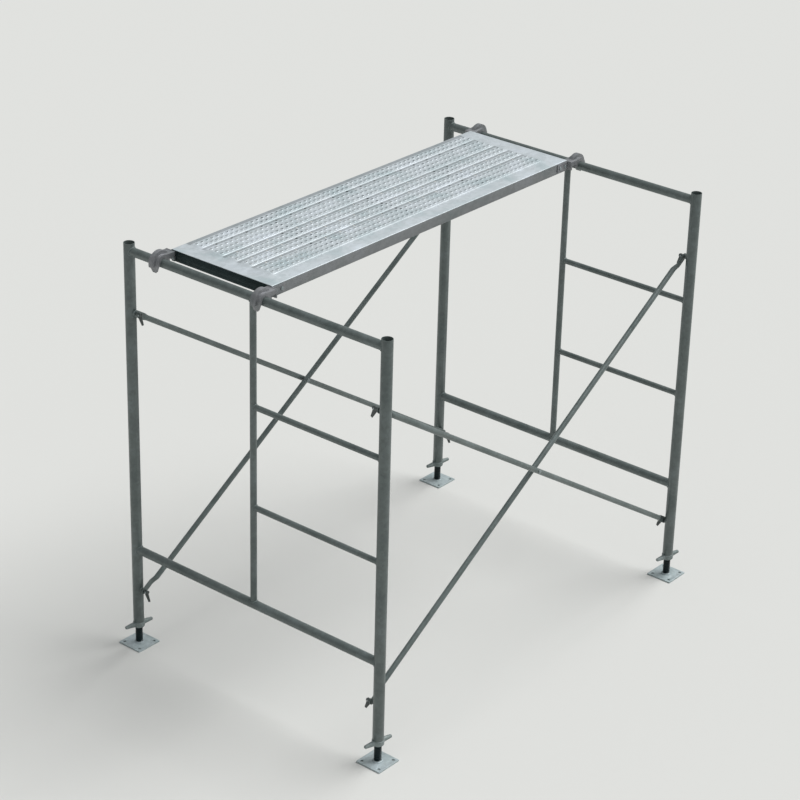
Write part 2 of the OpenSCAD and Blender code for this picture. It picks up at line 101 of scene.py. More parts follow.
class ScaffoldSizes(bpy.types.PropertyGroup):
    """Sizes of the detail that the frame doesn't hold."""
    weld_r: bpy.props.FloatProperty(
        name="Weld bead", description="Radius of a weld bead", default=0.0032, unit="LENGTH")
    thread_pitch: bpy.props.FloatProperty(
        name="Thread pitch", description="Pitch of the jack thread", default=0.008, unit="LENGTH")
    thread_depth: bpy.props.FloatProperty(
        name="Thread depth", description="Depth of the jack thread", default=0.0022, unit="LENGTH")
    sheet_t: bpy.props.FloatProperty(
        name="Deck sheet", description="Thickness of the deck sheet", default=0.0018, unit="LENGTH")
    band_rise: bpy.props.FloatProperty(
        name="Band height", description="Height of a raised band", default=0.003, unit="LENGTH")
    wide_band: bpy.props.FloatProperty(
        name="Wide band", description="Pitch of a wide band", default=0.103, unit="LENGTH")
    narrow_band: bpy.props.FloatProperty(
        name="Narrow band", description="Pitch of a narrow band", default=0.070, unit="LENGTH")
    near_rim: bpy.props.FloatProperty(
        name="Near rim", description="Plain rim beside the near side flange", default=0.057,
        unit="LENGTH")
    nut_r: bpy.props.FloatProperty(
        name="Nut", description="Radius of the nut's body", default=0.023, unit="LENGTH")
    nut_h: bpy.props.FloatProperty(
        name="Nut height", description="Height of the nut's body", default=0.022, unit="LENGTH")
    handle_turn: bpy.props.FloatProperty(
        name="Handle turn", description="Turn of the nut's handles from the long side",
        default=math.radians(-10), subtype="ANGLE")
    far_rim: bpy.props.FloatProperty(
        name="Far rim", description="Plain rim beside the far side flange", default=0.017,
        unit="LENGTH")
    drain_r: bpy.props.FloatProperty(
        name="Drain hole", description="Radius of a drain hole", default=0.0052, unit="LENGTH")
    handle_root_r: bpy.props.FloatProperty(
        name="Handle root", description="Radius of a handle at the nut", default=0.0112,
        unit="LENGTH")
    handle_r: bpy.props.FloatProperty(
        name="Handle end", description="Radius of a handle before its rounded end", default=0.0070,
        unit="LENGTH")
    handle_knob_r: bpy.props.FloatProperty(
        name="Handle knob", description="Radius of a handle's rounded end", default=0.0074,
        unit="LENGTH")
    groove_w: bpy.props.FloatProperty(
        name="Groove", description="Width of the groove between two bands", default=0.015,
        unit="LENGTH")
    plain_end: bpy.props.FloatProperty(
        name="Plain end", description="Plain length at each end of the deck", default=0.070,
        unit="LENGTH")
    grip_r: bpy.props.FloatProperty(
        name="Grip hole", description="Radius of a raised grip hole at its foot", default=0.0080,
        unit="LENGTH")
    grip_rise: bpy.props.FloatProperty(
        name="Grip height", description="Height of the rim round a grip hole", default=0.0022,
        unit="LENGTH")


class ScaffoldColours(bpy.types.PropertyGroup):
    """Base colours of the finishes."""
    tube: bpy.props.FloatVectorProperty(
        name="Tube", description="Weathered zinc on the tubes", default=(0.105, 0.128, 0.124),
        subtype="COLOR", size=3)
    deck: bpy.props.FloatVectorProperty(
        name="Deck", description="Fresh zinc on the deck", default=(0.50, 0.545, 0.57),
        subtype="COLOR", size=3)
    # Painted shade: a near-black colour for the end and cross channels, standing in for the shadow
    # on the deck's end faces and under the deck.
    channel: bpy.props.FloatVectorProperty(
        name="Channel", description="Dull zinc under the deck", default=(0.018, 0.034, 0.035),
        subtype="COLOR", size=3)
    hook: bpy.props.FloatVectorProperty(
        name="Hook", description="Satin zinc on the hooks", default=(0.21, 0.215, 0.225),
        subtype="COLOR", size=3)
    casting: bpy.props.FloatVectorProperty(
        name="Casting", description="Zinc over cast nuts", default=(0.20, 0.235, 0.23),
        subtype="COLOR", size=3)
    screw: bpy.props.FloatVectorProperty(
        name="Screw", description="Dark oiled steel", default=(0.004, 0.013, 0.015),
        subtype="COLOR", size=3)
    plate: bpy.props.FloatVectorProperty(
        name="Plate", description="Pale zinc on the base plates", default=(0.37, 0.43, 0.44),
        subtype="COLOR", size=3)
    # Painted shade: the side flanges get a colour well under the deck's, standing in for the shade
    # on faces turned from the light.
    deck_side_shade: bpy.props.FloatVectorProperty(
        name="Deck side", description="Duller zinc on the deck's side flanges",
        default=(0.20, 0.21, 0.215), subtype="COLOR", size=3)
    floor: bpy.props.FloatVectorProperty(
        name="Floor", description="Studio floor and backdrop", default=(0.635, 0.635, 0.615),
        subtype="COLOR", size=3)


# ---- materials ----

def shade_node(tree, kind, place, **values):
    """Adds a node and sets its plain attributes and numbered or named sockets."""
    made = tree.nodes.new(kind)
    made.location = place
    for key, value in values.items():
        if hasattr(made, key):
            setattr(made, key, value)
        else:
            made.inputs[key.replace("_", " ")].default_value = value
    return made


def colour_stops(ramp, stops):
    """Sets the stops of a colour ramp from (place, colour) pairs."""
    elements = ramp.color_ramp.elements
    while len(elements) < len(stops):
        elements.new(0.5)
    for element, (place, colour) in zip(elements, stops):
        element.position = place
        element.color = (*colour, 1) if len(colour) == 3 else (colour[0],) * 3 + (1,)


def shaded(colour, factor, tint=(1, 1, 1)):
    """A colour made lighter or darker, and tinted."""
    return tuple(min(1.0, c * factor * t) for c, t in zip(colour, tint))


def zinc(name, colour, spangle=90.0, contrast=0.25, metallic=0.22, rough=(0.30, 0.48),
         grain=0.12, streak=(1, 1, 0.12), dust=(0.16, 0.18, 0.17), dust_amount=0.10, shine=0.7):
    """Galvanised steel: spangle, slow mottling, rain streaks, pale oxide and a fine skin."""
    made = bpy.data.materials.new(name)
    made.use_nodes = True
    tree = made.node_tree
    link = tree.links.new
    shader = tree.nodes["Principled BSDF"]
    shader.inputs["Metallic"].default_value = metallic
    shader.inputs["Specular IOR Level"].default_value = shine
    coords = shade_node(tree, "ShaderNodeTexCoord", (-1500, 0))
    streaked = shade_node(tree, "ShaderNodeMapping", (-1300, -300))
    streaked.inputs["Scale"].default_value = streak
    link(coords.outputs["Object"], streaked.inputs["Vector"])
    flakes = shade_node(tree, "ShaderNodeTexVoronoi", (-1100, 250), Scale=spangle)
    mottle = shade_node(tree, "ShaderNodeTexNoise", (-1100, 0),
                        Scale=9.0, Detail=5.0, Roughness=0.6)
    rain = shade_node(tree, "ShaderNodeTexNoise", (-1100, -300),
                      Scale=55.0, Detail=4.0, Roughness=0.65)
    skin = shade_node(tree, "ShaderNodeTexNoise", (-1100, -600),
                      Scale=420.0, Detail=6.0, Roughness=0.7)
    for texture in (flakes, mottle, skin):
        link(coords.outputs["Object"], texture.inputs["Vector"])
    link(streaked.outputs["Vector"], rain.inputs["Vector"])
    base = shade_node(tree, "ShaderNodeValToRGB", (-850, 0))
    colour_stops(base, [(0.30, shaded(colour, 1 - contrast, (0.92, 1.0, 1.0))), (0.52, colour),
                        (0.72, shaded(colour, 1 + contrast, (1.0, 1.0, 1.03)))])
    link(mottle.outputs["Fac"], base.inputs["Fac"])
    tone = shade_node(tree, "ShaderNodeValToRGB", (-850, 300))
    colour_stops(tone, [(0.0, (1 - 0.45 * contrast,)), (1.0, (1 + 0.45 * contrast,))])
    split = shade_node(tree, "ShaderNodeSeparateColor", (-960, 420))
    link(flakes.outputs["Color"], split.inputs["Color"])
    link(split.outputs["Red"], tone.inputs["Fac"])
    flaked = shade_node(tree, "ShaderNodeMix", (-550, 150), data_type="RGBA", blend_type="MULTIPLY")
    flaked.inputs["Factor"].default_value = 1.0
    link(base.outputs["Color"], flaked.inputs["A"])
    link(tone.outputs["Color"], flaked.inputs["B"])
    stain = shade_node(tree, "ShaderNodeValToRGB", (-850, -300))
    colour_stops(stain, [(0.52, (0.0,)), (0.74, (1.0,))])
    link(rain.outputs["Fac"], stain.inputs["Fac"])
    stained = shade_node(tree, "ShaderNodeMath", (-600, -300), operation="MULTIPLY")
    stained.inputs[1].default_value = dust_amount * 2
    link(stain.outputs["Color"], stained.inputs[0])
    dusty = shade_node(tree, "ShaderNodeMix", (-300, 100), data_type="RGBA")
    dusty.inputs["B"].default_value = (*dust, 1)
    link(stained.outputs["Value"], dusty.inputs["Factor"])
    link(flaked.outputs["Result"], dusty.inputs["A"])
    link(dusty.outputs["Result"], shader.inputs["Base Color"])
    gloss = shade_node(tree, "ShaderNodeMapRange", (-550, -120), To_Min=rough[0], To_Max=rough[1])
    gloss.inputs["From Min"].default_value = 0.3
    gloss.inputs["From Max"].default_value = 0.75
    link(rain.outputs["Fac"], gloss.inputs["Value"])
    link(gloss.outputs["Result"], shader.inputs["Roughness"])
    bump = shade_node(tree, "ShaderNodeBump", (-300, -450))
    bump.inputs["Strength"].default_value = grain
    bump.inputs["Distance"].default_value = 0.002
    link(skin.outputs["Fac"], bump.inputs["Height"])
    slow = shade_node(tree, "ShaderNodeBump", (-100, -450))
    slow.inputs["Strength"].default_value = grain
    slow.inputs["Distance"].default_value = 0.004
    link(mottle.outputs["Fac"], slow.inputs["Height"])
    link(bump.outputs["Normal"], slow.inputs["Normal"])
    link(slow.outputs["Normal"], shader.inputs["Normal"])
    return made


FINISHES = {}


def finish(name):
    """The material of that name, made on first use."""
    if name not in FINISHES:
        paint = bpy.context.scene.scaffold_colours
        recipes = {
            "tube_upright": lambda: zinc("tube_upright", paint.tube),
            "tube_crosswise": lambda: zinc("tube_crosswise", paint.tube, streak=(1, 0.12, 1)),
            "brace_zinc": lambda: zinc("brace_zinc", shaded(paint.tube, 1.15),
                                       streak=(0.15, 1, 0.2)),
            "weld_metal": lambda: zinc("weld_metal", shaded(paint.tube, 1.25), spangle=400,
                                       rough=(0.4, 0.6), grain=0.5, streak=(1, 1, 1)),
            "deck_zinc": lambda: zinc("deck_zinc", paint.deck, spangle=70, contrast=0.14,
                                      metallic=0.15, rough=(0.34, 0.5), grain=0.10,
                                      streak=(0.1, 1, 1), dust=(0.36, 0.40, 0.42), shine=0.5),
            # Painted shade in the grooves: a darker copy of the deck finish stands in for the shade
            # between the raised bands.
            "painted_shade_groove": lambda: zinc("painted_shade_groove", shaded(paint.deck, 0.62),
                                             spangle=70, contrast=0.14, metallic=0.15,
                                             rough=(0.34, 0.5), streak=(0.1, 1, 1),
                                             dust=(0.22, 0.24, 0.25), shine=0.5),
            # Painted shade on the side flanges: a darker zinc in place of the shade on faces turned
            # from the light.
            "painted_shade_flange": lambda: zinc("painted_shade_flange", paint.deck_side_shade, spangle=70,
                                           contrast=0.14, metallic=0.15, rough=(0.4, 0.6),
                                           streak=(0.1, 1, 1), shine=0.4),
            # Painted shade: near-black finish for the channels in place of the shadow on the deck's
            # ends and underside.
            "painted_shade_channel": lambda: zinc("painted_shade_channel", paint.channel, metallic=0.1,
                                         rough=(0.5, 0.7), dust=(0.03, 0.05, 0.05),
                                         shine=0.25),
            "hook_zinc": lambda: zinc("hook_zinc", paint.hook, spangle=160, metallic=0.3,
                                      rough=(0.38, 0.55), grain=0.2, streak=(1, 1, 1)),
            "rivet_zinc": lambda: zinc("rivet_zinc", shaded(paint.plate, 0.6), spangle=500,
                                       rough=(0.25, 0.4), streak=(1, 1, 1)),
            "pin_zinc": lambda: zinc("pin_zinc", shaded(paint.tube, 0.6), spangle=500,
                                     rough=(0.25, 0.42), streak=(1, 0.2, 1)),
            "latch_zinc": lambda: zinc("latch_zinc", shaded(paint.tube, 0.45), spangle=400,
                                       rough=(0.4, 0.6), streak=(1, 1, 0.3)),
            "nut_casting": lambda: zinc("nut_casting", paint.casting, spangle=260, contrast=0.35,
                                        metallic=0.2, rough=(0.45, 0.68), grain=0.55,
                                        streak=(1, 1, 1)),
            "screw_steel": lambda: zinc("screw_steel", paint.screw, spangle=300, contrast=0.5,
                                        metallic=0.2, rough=(0.25, 0.45), streak=(1, 1, 0.4),
                                        dust=(0.01, 0.02, 0.02), dust_amount=0.2, shine=0.35),
            "plate_zinc": lambda: zinc("plate_zinc", paint.plate, spangle=120, contrast=0.2,
                                       metallic=0.15, rough=(0.35, 0.6), grain=0.2,
                                       streak=(1, 1, 1), dust=(0.24, 0.27, 0.27),
                                       dust_amount=0.2),
        }
        FINISHES[name] = recipes[name]()
    return FINISHES[name]


# ---- shaping helpers ----

def select_none():
    """Leaves object mode with nothing selected."""
    if bpy.context.object and bpy.context.object.mode != "OBJECT":
        bpy.ops.object.mode_set(mode="OBJECT")
    bpy.ops.object.select_all(action="DESELECT")


def pick(piece):
    """Makes one object the selected and active one."""
    select_none()
    piece.select_set(True)
    bpy.context.view_layer.objects.active = piece
    return piece


def settle(piece):
    """Applies the object's own place, turn and size to its mesh."""
    pick(piece)
    bpy.ops.object.transform_apply(location=True, rotation=True, scale=True)
    return piece


def apply_modifier(piece, kind, **values):
    """Adds one modifier, sets it and applies it."""
    pick(piece)
    added = piece.modifiers.new(kind.title(), kind)
    for key, value in values.items():
        setattr(added, key, value)
    bpy.ops.object.modifier_apply(modifier=added.name)
    return piece


def tidy_mesh(piece, gap=0.00002):
    """Merges doubled vertices and turns every face outwards."""
    pick(piece)
    bpy.ops.object.mode_set(mode="EDIT")
    bpy.ops.mesh.select_all(action="SELECT")
    bpy.ops.mesh.remove_doubles(threshold=gap)
    bpy.ops.mesh.normals_make_consistent(inside=False)
    bpy.ops.object.mode_set(mode="OBJECT")
    return piece


def smooth(piece, degrees=35):
    """Smooth shading that keeps the sharp edges."""
    pick(piece)
    bpy.ops.object.shade_smooth_by_angle(angle=math.radians(degrees))
    return piece


def join(name, pieces):
    """Joins several objects into one."""
    select_none()
    for piece in pieces:
        piece.select_set(True)
    bpy.context.view_layer.objects.active = pieces[0]
    if len(pieces) > 1:
        bpy.ops.object.join()
    whole = bpy.context.view_layer.objects.active
    whole.name = name
    whole.data.name = name
    return whole


def dress(piece, material, body, nodes=()):
    """Gives a piece its finish, its body and the nodes that it stands for."""
    piece.data.materials.clear()
    piece.data.materials.append(finish(material))
    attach(piece, body)
    if nodes:
        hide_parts(*nodes)
    return piece


def new_mesh_object(name):
    """An empty mesh object, linked to the scene."""
    piece = bpy.data.objects.new(name, bpy.data.meshes.new(name))
    bpy.context.scene.collection.objects.link(piece)
    return piece


def rounded(node, name, edge, segments=2, angle=32, degrees=35, shape=None):
    """A copy of a node with clean faces, reshaped by shape(mesh), and its edges rounded."""
    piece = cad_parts[node].copy()
    piece.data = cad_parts[node].data.copy()
    for key in [k for k in piece.keys() if k.startswith("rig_")]:
        del piece[key]
    piece.parent = None
    piece.name = name
    bpy.context.scene.collection.objects.link(piece)
    pick(piece)
    bpy.ops.object.mode_set(mode="EDIT")
    bpy.ops.mesh.select_all(action="SELECT")
    bpy.ops.mesh.remove_doubles(threshold=0.00001)
    bpy.ops.mesh.dissolve_limited(angle_limit=math.radians(0.6))
    bpy.ops.object.mode_set(mode="OBJECT")
    if piece.data.has_custom_normals:
        bpy.ops.mesh.customdata_custom_splitnormals_clear()
    if shape:
        shape(piece.data)
    if edge:
        apply_modifier(piece, "BEVEL", width=edge, segments=segments, limit_method="ANGLE",
                       angle_limit=math.radians(angle), harden_normals=False,
                       use_clamp_overlap=True)
    return smooth(piece, degrees)


def register_piece_operator(cls):
    """Lists an operator in the order that it runs."""
    BUILD_ORDER.append(cls)
    return cls


BUILD_ORDER = []


def run_name(cls):
    """The operator's call, such as bpy.ops.scaffold.frame_tubes."""
    group, name = cls.bl_idname.split(".")
    return getattr(getattr(bpy.ops, group), name)


# ---- frames ----

@register_piece_operator
class SCAFFOLD_OT_frame_tubes(bpy.types.Operator):
    """Legs, rails, posts and rungs, the legs with their cut edges softened"""
    bl_idname = "scaffold.frame_tubes"
    bl_label = "Frame tubes"

    def execute(self, context):
        for end in ENDS:
            for part in ("near_leg", "far_leg"):
                piece = rounded(f"{end}_{part}", f"{end}_{part}_tube", 0.0004)
                dress(piece, "tube_upright", "root", [f"{end}_{part}"])
            for part in ("top_rail", "bottom_rail"):
                piece = rounded(f"{end}_{part}", f"{end}_{part}_tube", 0)
                dress(piece, "tube_crosswise", "root", [f"{end}_{part}"])
            piece = rounded(f"{end}_mid_post", f"{end}_mid_post_tube", 0)
            dress(piece, "tube_upright", "root", [f"{end}_mid_post"])
            for part in ("lower_rung", "upper_rung"):
                piece = rounded(f"{end}_{part}", f"{end}_{part}_tube", 0)
                dress(piece, "tube_crosswise", "root", [f"{end}_{part}"])
        return {"FINISHED"}


def weld_bead(branch_r, main_r, place, along, main_axis):
    """A rippled bead where a tube of radius branch_r meets the side of one of radius main_r.

    place is on the main tube's axis, along points down the branch, away from the main tube.
    """
    sizes = bpy.context.scene.scaffold_sizes
    turns = 56
    select_none()
    bpy.ops.mesh.primitive_torus_add(major_segments=turns, minor_segments=8,
                                     major_radius=branch_r, minor_radius=sizes.weld_r)
    bead = bpy.context.object
    across = along.cross(main_axis)
    basis = Matrix((across, main_axis, along)).transposed()
    for vertex in bead.data.vertices:
        angle = math.atan2(vertex.co.y, vertex.co.x)
        ring = Vector((math.cos(angle), math.sin(angle), 0)) * branch_r
        swell = 1 + 0.16 * math.sin(angle * turns / 2.0) + 0.10 * math.sin(angle * 5 + place.x * 9)
        reach = math.sqrt(max(main_r ** 2 - ring.x ** 2, 0))
        offset = (vertex.co - ring) * swell
        vertex.co = basis @ (ring + offset + Vector((0, 0, reach))) + place
    return bead


@register_piece_operator
class SCAFFOLD_OT_welds(bpy.types.Operator):
    """Rippled weld beads round every joint of the two frames"""
    bl_idname = "scaffold.welds"
    bl_label = "Welds"

    def execute(self, context):
        across = Vector((0, 1, 0))
        for end in ENDS:
            beads = []
            for row, inward in (("near", across), ("far", -across)):
                leg = middle(f"{end}_{row}_leg")
                for part in ("top_rail", "bottom_rail"):
                    place = Vector((leg.x, leg.y, middle(f"{end}_{part}").z))
                    beads.append(weld_bead(RAIL_R, LEG_R, place, inward, UP))
            post = middle(f"{end}_mid_post")
            near = middle(f"{end}_near_leg")
            for part, way in (("top_rail", -UP), ("bottom_rail", UP)):
                place = Vector((post.x, post.y, middle(f"{end}_{part}").z))
                beads.append(weld_bead(SLIM_R, RAIL_R, place, way, across))
            for part in ("lower_rung", "upper_rung"):
                height = middle(f"{end}_{part}").z
                beads.append(weld_bead(RUNG_R, LEG_R, Vector((near.x, near.y, height)), across, UP))
                beads.append(weld_bead(RUNG_R, SLIM_R, Vector((post.x, post.y, height)), -across,
                                       UP))
            whole = smooth(join(f"{end}_frame_welds", beads), 80)
            dress(whole, "weld_metal", "root")
        return {"FINISHED"}


@register_piece_operator
class SCAFFOLD_OT_brace_pins(bpy.types.Operator):
    """Brace pins with their rivets, and a weld ring where each pin enters its leg"""
    bl_idname = "scaffold.brace_pins"
    bl_label = "Brace pins"

    def execute(self, context):
        across = Vector((0, 1, 0))
        for end in ENDS:
            pins = rounded(f"{end}_brace_pins", f"{end}_lock_pins", 0.0008)
            dress(pins, "pin_zinc", "root", [f"{end}_brace_pins"])
            rivets = rounded(f"{end}_latch_rivets", f"{end}_tag_rivets", 0.0005)
            dress(rivets, "rivet_zinc", "root", [f"{end}_latch_rivets"])
            low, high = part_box(f"{end}_brace_pins")
            pin_r = (high.x - low.x) / 2
            rings = []
            for row, inward in (("near", across), ("far", -across)):
                leg = middle(f"{end}_{row}_leg")
                for height in (low.z + pin_r, high.z - pin_r):
                    place = Vector((leg.x, leg.y, height))
                    rings.append(weld_bead(pin_r, LEG_R, place, inward, UP))
            whole = smooth(join(f"{end}_pin_welds", rings), 80)
            dress(whole, "weld_metal", "root")
        return {"FINISHED"}


@register_piece_operator
class SCAFFOLD_OT_latches(bpy.types.Operator):
    """Latch tags, stamped from plate with softened edges"""
    bl_idname = "scaffold.latches"
    bl_label = "Latches"

    def execute(self, context):
        for corner in CORNERS:
            for level in ("low", "high"):
                name = f"{corner}_{level}_latch"
                tag = rounded(name, f"{corner}_{level}_tag", 0.0007)
                dress(tag, "latch_zinc", name, [name])
        return {"FINISHED"}


# ---- braces ----

def brace_ring(ring, x, squash, shift, flat_t, flat_w):
    """Places one ring of vertices: round at squash 0, a flat with round edges at squash 1."""
    for index, vertex in enumerate(ring):
        angle = 2 * math.pi * index / len(ring)
        round_y = BRACE_R * math.cos(angle)
        round_z = BRACE_R * math.sin(angle)
        sharp = abs(math.cos(angle)) ** 0.35 * math.copysign(1, math.cos(angle))
        wide = abs(math.sin(angle)) ** 0.85 * math.copysign(1, math.sin(angle))
        flat_y = flat_t / 2 * sharp + shift
        flat_z = flat_w / 2 * wide
        vertex.co = Vector((x, round_y + (flat_y - round_y) * squash,
                            round_z + (flat_z - round_z) * squash))


def brace_tube(shift):
    """A level brace tube with both ends pressed flat and drilled, and the tilt that it needs."""
    pins_low, pins_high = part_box("left_brace_pins")
    pin_r = (pins_high.x - pins_low.x) / 2
    run = middle("right_brace_pins").x - middle("left_brace_pins").x
    climb = (pins_high.z - pin_r) - (pins_low.z + pin_r)
    half = math.hypot(run, climb) / 2
    flat_w, flat_t = 0.026, 0.004
    flat_start, flare_start = half - 0.042, half - 0.076
    stations = [(0.0, 0.0, 1.0), (flare_start * 0.5, 0.0, 1.0), (flare_start, 0.0, 1.0)]
    for step in range(1, 9):
        t = step / 8
        stations.append((flare_start + (flat_start - flare_start) * t, t * t * (3 - 2 * t), 1.0))
    stations += [(half - 0.02, 1.0, 1.0), (half, 1.0, 1.0)]
    for degrees in (20, 40, 58, 74, 84):
        turn = math.radians(degrees)
        stations.append((half + flat_w / 2 * math.sin(turn), 1.0, math.cos(turn)))
    select_none()
    bpy.ops.mesh.primitive_circle_add(vertices=36, radius=BRACE_R, fill_type="NOTHING")
    piece = bpy.context.object
    bm = bmesh.new()
    bm.from_mesh(piece.data)
    bm.verts.ensure_lookup_table()
    ring = list(bm.verts)
    first = True
    for x, squash, narrow in stations:
        if not first:
            edges = [e for e in bm.edges if e.verts[0] in ring and e.verts[1] in ring]
            grown = bmesh.ops.extrude_edge_only(bm, edges=edges)["geom"]
            fresh = [g for g in grown if isinstance(g, bmesh.types.BMVert)]
            order = {}
            for vertex in fresh:
                for edge in vertex.link_edges:
                    other = edge.other_vert(vertex)
                    if other in ring:
                        order[ring.index(other)] = vertex
            ring = [order[i] for i in range(len(ring))]
        first = False
        brace_ring(ring, x, squash, shift, flat_t, flat_w * narrow)
    bm.faces.new(ring)
    bm.to_mesh(piece.data)
    bm.free()
    apply_modifier(piece, "MIRROR", use_axis=(True, False, False), merge_threshold=0.0001)
    tidy_mesh(piece)
    for way in (-1, 1):
        select_none()
        bpy.ops.mesh.primitive_cylinder_add(vertices=32, radius=pin_r + 0.0005, depth=0.06,
                                            location=(way * half, 0, 0),
                                            rotation=(math.pi / 2, 0, 0))
        drill = bpy.context.object
        apply_modifier(piece, "BOOLEAN", operation="DIFFERENCE", object=drill, solver="EXACT")
        bpy.data.objects.remove(drill)
    return piece, math.atan2(climb, run)


@register_piece_operator
class SCAFFOLD_OT_braces(bpy.types.Operator):
    """Cross braces with pressed flat ends, and the rivet at each crossing"""
    bl_idname = "scaffold.braces"
    bl_label = "Braces"

    def execute(self, context):
        for row, side in (("near", -1), ("far", 1)):
            for kind, lean in (("outer", -1), ("inner", 1)):
                node = f"{row}_{kind}_brace"
                shift = side * lean * (BRACE_R - 0.0025)
                piece, tilt = brace_tube(shift)
                piece.name = f"{row}_{kind}_brace_tube"
                piece.data.name = piece.name
                piece.rotation_euler = (0, -lean * tilt, 0)
                piece.location = middle(node)
                settle(piece)
                smooth(piece, 40)
                dress(piece, "brace_zinc", "root", [node])
            rivet = rounded(f"{row}_brace_rivet", f"{row}_crossing_rivet", 0.0018, segments=3)
            dress(rivet, "rivet_zinc", "root", [f"{row}_brace_rivet"])
        return {"FINISHED"}


# ---- catwalk ----

def deck_stations(sizes):
    """Rows across the deck: (y, height, is on a band, has grip holes before the next row)."""
    width = DECK_HIGH.y - DECK_LOW.y
    depth = DECK_HIGH.z - DECK_LOW.z - sizes.band_rise
    bend = 0.004
    lip = 0.016
    wide, narrow = sizes.wide_band, sizes.narrow_band
    rows = [(lip, -depth, 0, False)]
    for step in range(0, 4):
        turn = math.pi / 2 * step / 3
        rows.append((bend * (1 - math.sin(turn)), -depth + bend * (1 - math.cos(turn)), 0, False))
    for step in range(0, 4):
        turn = math.pi / 2 * step / 3
        rows.append((bend * (1 - math.cos(turn)), -bend * (1 - math.sin(turn)), 0, False))
    y = sizes.near_rim
    for band in (wide, narrow, narrow, wide, narrow):
        start = y + sizes.groove_w / 2
        end = y + band - sizes.groove_w / 2
        rows.append((start, 0, 0, False))
        flat = end - start - 2 * sizes.band_rise
        count = 3 if band == wide else 2
        for line in range(count + 1):
            rows.append((start + sizes.band_rise + flat * line / count, 0, 1, line < count))
        rows.append((end, 0, 0, False))
        y += band
    mirrored = [(width - p[0], p[1], 0, False) for p in reversed(rows[:9])]
    return rows + mirrored


@register_piece_operator
class SCAFFOLD_OT_deck_sheet(bpy.types.Operator):
    """Pressed deck sheet: raised bands with rows of raised grip holes, and drain holes between"""
    bl_idname = "scaffold.deck_sheet"
    bl_label = "Deck sheet"

    def execute(self, context):
        sizes = context.scene.scaffold_sizes
        rows = deck_stations(sizes)
        length = DECK_HIGH.x - DECK_LOW.x
        slope = 0.006
        pressed = length - 2 * (sizes.plain_end + slope)
        cells = round(pressed / 0.0262)
        columns = [0.0, sizes.plain_end]
        columns += [sizes.plain_end + slope + pressed * i / cells for i in range(cells + 1)]
        columns += [length - sizes.plain_end, length]
        select_none()
        bpy.ops.mesh.primitive_grid_add(x_subdivisions=len(columns) - 1,
                                        y_subdivisions=len(rows) - 1, size=1)
        sheet = bpy.context.object
        sheet.name = "deck_pressed_sheet"
        place = {}
        for vertex in sheet.data.vertices:
            i = round((vertex.co.x + 0.5) * (len(columns) - 1))
            j = round((vertex.co.y + 0.5) * (len(rows) - 1))
            y, z, raised, _ = rows[j]
            lifted = raised and 2 <= i <= len(columns) - 3
            height = z + (sizes.band_rise if lifted else 0)
            place[vertex.index] = (i, j)
            vertex.co = Vector((DECK_LOW.x + columns[i], DECK_LOW.y + y,
                                DECK_HIGH.z - sizes.band_rise + height))
        bm = bmesh.new()
        bm.from_mesh(sheet.data)
        bm.faces.ensure_lookup_table()
        grips, drains = [], []
        for face in bm.faces:
            i = min(place[v.index][0] for v in face.verts)
            j = min(place[v.index][1] for v in face.verts)
            if 2 <= i < len(columns) - 3:
                if rows[j][3]:
                    grips.append(face)
                elif not (rows[j][2] or rows[j + 1][2]) and 8 < j < len(rows) - 10 and i % 3 == 1:
                    drains.append(face)
        pierce(bm, grips, sizes.grip_r, sizes.grip_rise)
        pierce(bm, drains, sizes.drain_r, 0.0)
        bm.to_mesh(sheet.data)
        bm.free()
        apply_modifier(sheet, "SOLIDIFY", thickness=sizes.sheet_t, offset=-1.0,
                       use_even_offset=True)
        smooth(sheet, 38)
        dress(sheet, "deck_zinc", "catwalk", ["deck_sheet"])
        sheet.data.materials.append(finish("painted_shade_flange"))
        sheet.data.materials.append(finish("painted_shade_groove"))
        base_z = DECK_HIGH.z - sizes.band_rise
        first_band = DECK_LOW.y + sizes.near_rim - sizes.groove_w / 2
        last_band = DECK_HIGH.y - sizes.far_rim + sizes.groove_w / 2
        for face in sheet.data.polygons:
            spot = face.center
            # Faces below the deck top, the side flanges, take the painted-shade flange finish.
            if spot.z < base_z - 0.0025:
                face.material_index = 1
            # Groove floors between the bands take the painted-shade groove finish, a darker copy of
            # the deck.
            elif (spot.z < base_z + 0.0004 and first_band - 0.001 < spot.y < last_band + 0.001
                  and abs(spot.x) < DECK_HIGH.x - sizes.plain_end):
                face.material_index = 2
        return {"FINISHED"}


def pierce(bm, faces, radius, rise):
    """Opens a round hole in each face, its rim raised into a cone when rise isn't zero."""
    bmesh.ops.inset_individual(bm, faces=faces, thickness=0.0012)
    edges = list({edge for face in faces for edge in face.edges})
    bmesh.ops.subdivide_edges(bm, edges=edges, cuts=2)
    for face in faces:
        centre = face.calc_center_median()
        corners = list(face.verts)
        start = min(corners, key=lambda v: math.atan2(v.co.y - centre.y, v.co.x - centre.x))
        first = corners.index(start)
        turn0 = math.atan2(start.co.y - centre.y, start.co.x - centre.x)
        turning = 1 if face.normal.z > 0 else -1
        for step in range(len(corners)):
            vertex = corners[(first + step) % len(corners)]
            angle = turn0 + turning * 2 * math.pi * step / len(corners)
            vertex.co.x = centre.x + radius * math.cos(angle)
            vertex.co.y = centre.y + radius * math.sin(angle)
    if rise:
        bmesh.ops.inset_individual(bm, faces=faces, thickness=radius * 0.30, depth=rise)
        bmesh.ops.inset_individual(bm, faces=faces, thickness=radius * 0.12, depth=0)
        bmesh.ops.inset_individual(bm, faces=faces, thickness=radius * 0.04, depth=-rise * 0.8)
    bmesh.ops.delete(bm, geom=faces, context="FACES")


